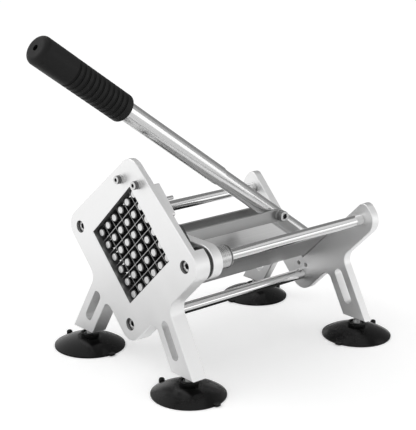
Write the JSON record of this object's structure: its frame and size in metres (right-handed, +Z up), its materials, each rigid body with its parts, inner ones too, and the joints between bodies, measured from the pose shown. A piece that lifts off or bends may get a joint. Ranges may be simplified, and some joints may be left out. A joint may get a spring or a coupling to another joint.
{
  "type": "french fry cutter",
  "caption": "Lever-operated potato chipper: legged end plates on guide rods, blade grid, pin pusher, link-driven carriage, gripped lever, suction feet.",
  "frame": {"origin": "centre of the bounding box at the worktop, under the middle of the machine", "axes": "+X to the machine's right seen from the operator at the front, +Y from the blade plate at the front to the lever's pivot at the rear, +Z up"},
  "size_m": [0.2044, 0.3392, 0.2933],
  "materials": {
    "black_plastic": "black, satin",
    "black_rubber": "matte black",
    "blade_steel": "thin bright strip",
    "blasted_aluminium": "bead blasted, matte silver",
    "bush_steel": "satin turned steel",
    "cup_rubber": "black, slightly glossy",
    "fastener_steel": "bright stainless fasteners",
    "grip_rubber": "matte black, ribbed",
    "lever_steel": "drawn along its length, bright",
    "link_steel": "grey satin flat bar",
    "machined_aluminium": "machined, satin",
    "pin_steel": "bright turned pins",
    "polished_rod": "ground and polished round rod",
    "sheet_steel": "bent stainless sheet"
  },
  "bodies": {
    "frame": {"front_plate": "blasted_aluminium", "rear_plate": "blasted_aluminium", "guide_rod_left": "polished_rod", "guide_rod_right": "polished_rod", "tie_rod": "polished_rod", "front_rod_screws": "fastener_steel", "rear_rod_screws": "fastener_steel", "blade_frame": "machined_aluminium", "frame_pin": "fastener_steel", "frame_washers": "fastener_steel", "frame_spring_washers": "fastener_steel", "frame_screws": "fastener_steel", "falling_blades": "blade_steel", "rising_blades": "blade_steel", "potato_trough": "sheet_steel", "trough_screws": "fastener_steel", "pivot_bracket": "blasted_aluminium", "bracket_screws": "fastener_steel", "pivot_bolt": "fastener_steel", "pivot_nut": "fastener_steel", "bumper_left": "black_rubber", "bumper_right": "black_rubber", "foot_studs": "fastener_steel", "foot_nuts": "fastener_steel", "suction_cup_front_left": "cup_rubber", "suction_cup_front_right": "cup_rubber", "suction_cup_rear_left": "cup_rubber", "suction_cup_rear_right": "cup_rubber"},
    "carriage": {"carriage_plate": "blasted_aluminium", "pusher_base": "black_plastic", "pusher_pins": "pin_steel", "base_screws": "fastener_steel", "guide_bush_left": "bush_steel", "guide_bush_right": "bush_steel", "bush_ring_left": "black_rubber", "bush_ring_right": "black_rubber", "link_lug": "blasted_aluminium", "lug_screws": "fastener_steel", "link_pin": "fastener_steel", "link_pin_washers": "fastener_steel", "link_pin_nut": "fastener_steel"},
    "link": {"link_bar_left": "link_steel", "link_bar_right": "link_steel", "link_bolt_head_end": "fastener_steel", "link_bolt_nut_end": "fastener_steel", "link_bolt_washers": "fastener_steel", "link_bolt_nut": "fastener_steel"},
    "lever": {"lever_bar": "lever_steel", "lever_cross_pin": "fastener_steel", "lever_tube": "lever_steel", "lever_grip": "grip_rubber"}
  },
  "joints": [
    {"name": "lever_hinge", "type": "hinge", "parent": "frame", "child": "lever", "pos_m": [0, 0.15168, 0.0665], "axis": [-1, 0, 0], "range_deg": [0, 93.34]},
    {"name": "carriage_slide", "type": "slide", "parent": "frame", "child": "carriage", "axis": [0, 1, 0], "range_m": [0, 0.11271]},
    {"name": "link_hinge", "type": "hinge", "parent": "carriage", "child": "link", "pos_m": [0, -0.03832, 0.11058], "axis": [1, 0, 0], "range_deg": [0, 7.76]}
  ],
  "couplings": [
    {"joint": "carriage_slide", "follows": "lever_hinge", "m_per_rad": 0.069124},
    {"joint": "link_hinge", "follows": "lever_hinge", "ratio": 0.082887}
  ]
}
